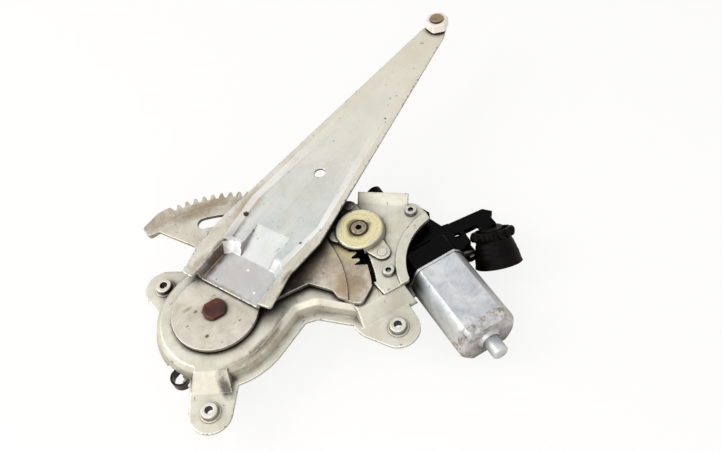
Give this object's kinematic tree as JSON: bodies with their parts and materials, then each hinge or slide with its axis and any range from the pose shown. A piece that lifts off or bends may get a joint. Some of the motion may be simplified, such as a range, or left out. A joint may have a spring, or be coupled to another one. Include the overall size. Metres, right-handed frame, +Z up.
{
  "type": "window regulator",
  "caption": "Single-arm sector-gear window regulator: pressed base plate, toothed sector with tapered lift arm and roller, spring, and a worm-gear motor below.",
  "frame": {"origin": "centre of the lower fixing hole, on the mounting face at the undersides of the ears", "axes": "+Z up from the mounting face through the plate, sector and arm; +X from the pivot to the output pinion; +Y completes the right-handed frame"},
  "size_m": [0.3442, 0.2862, 0.0662],
  "materials": {
    "plate_zinc": "dull zinc plate with road dirt",
    "nut_steel": "zinc plated",
    "sector_steel": "zinc plated, greased at the teeth",
    "arm_zinc": "galvanised with stains",
    "pin_steel": "bare steel, lightly rusted",
    "spring_black": "black oiled spring steel",
    "bracket_steel": "zinc plated under a film of grease",
    "housing_plastic": "glass-filled black nylon",
    "can_steel": "zinc plated, satin",
    "screw_steel": "zinc plated",
    "boot_rubber": "matt black rubber",
    "roller_nylon": "natural nylon",
    "bush_bronze": "oil-filled sintered bronze",
    "wheel_acetal": "natural acetal",
    "copper": "enamelled copper",
    "ferrite": "ground ferrite",
    "lamination": "stacked sheet",
    "carbon": "pressed carbon",
    "phenolic": "brown phenolic board"
  },
  "bodies": {
    "base": {"base_plate": "plate_zinc", "weld_nuts": "nut_steel", "pivot_bush": "bush_bronze", "pinion_bracket": "bracket_steel", "bracket_rivets": "nut_steel", "shaft_bush": "bush_bronze", "gear_housing": "housing_plastic", "cover_gasket": "boot_rubber", "housing_cover": "housing_plastic", "motor_screws": "screw_steel", "motor_can": "can_steel", "can_screws": "screw_steel", "magnets": "ferrite", "armature_bushes": "bush_bronze", "thrust_ball": "screw_steel", "brush_holder": "phenolic", "brushes": "carbon", "connector_boot": "boot_rubber", "connector_housing": "housing_plastic", "terminals": "copper", "balance_spring": "spring_black"},
    "arm": {"sector_gear": "sector_steel", "lift_arm": "arm_zinc", "pivot_pin": "pin_steel", "pivot_ring": "pin_steel", "roller_stud": "pin_steel"},
    "roller": {"tip_roller": "roller_nylon"},
    "output": {"output_shaft": "screw_steel", "pinion": "sector_steel", "worm_wheel": "wheel_acetal", "damper_cushions": "boot_rubber", "drive_plate": "screw_steel"},
    "armature": {"armature_shaft": "screw_steel", "armature_core": "lamination", "windings": "copper", "commutator": "copper"}
  },
  "joints": [
    {"name": "arm_swing", "type": "hinge", "parent": "base", "child": "arm", "pos_m": [0.0355, 0.0635, 0.0145], "axis": [0, 0, 1], "range_deg": [-76, 6], "deforming": ["balance_spring"]},
    {"name": "roller_turn", "type": "hinge", "parent": "arm", "child": "roller", "pos_m": [0.31884, 0.20787, 0.031], "axis": [0, 0, 1], "continuous": true},
    {"name": "output_turn", "type": "hinge", "parent": "base", "child": "output", "pos_m": [0.15588, 0.0635, 0.014], "axis": [0, 0, 1], "range_deg": [-90, 680]},
    {"name": "armature_turn", "type": "hinge", "parent": "base", "child": "armature", "pos_m": [0.18987, 0.0335, -0.008], "axis": [0, 1, 0], "range_deg": [-39500, 39500]}
  ],
  "couplings": [
    {"joint": "output_turn", "follows": "arm_swing", "ratio": -8.7273},
    {"joint": "armature_turn", "follows": "arm_swing", "ratio": -506.18}
  ]
}
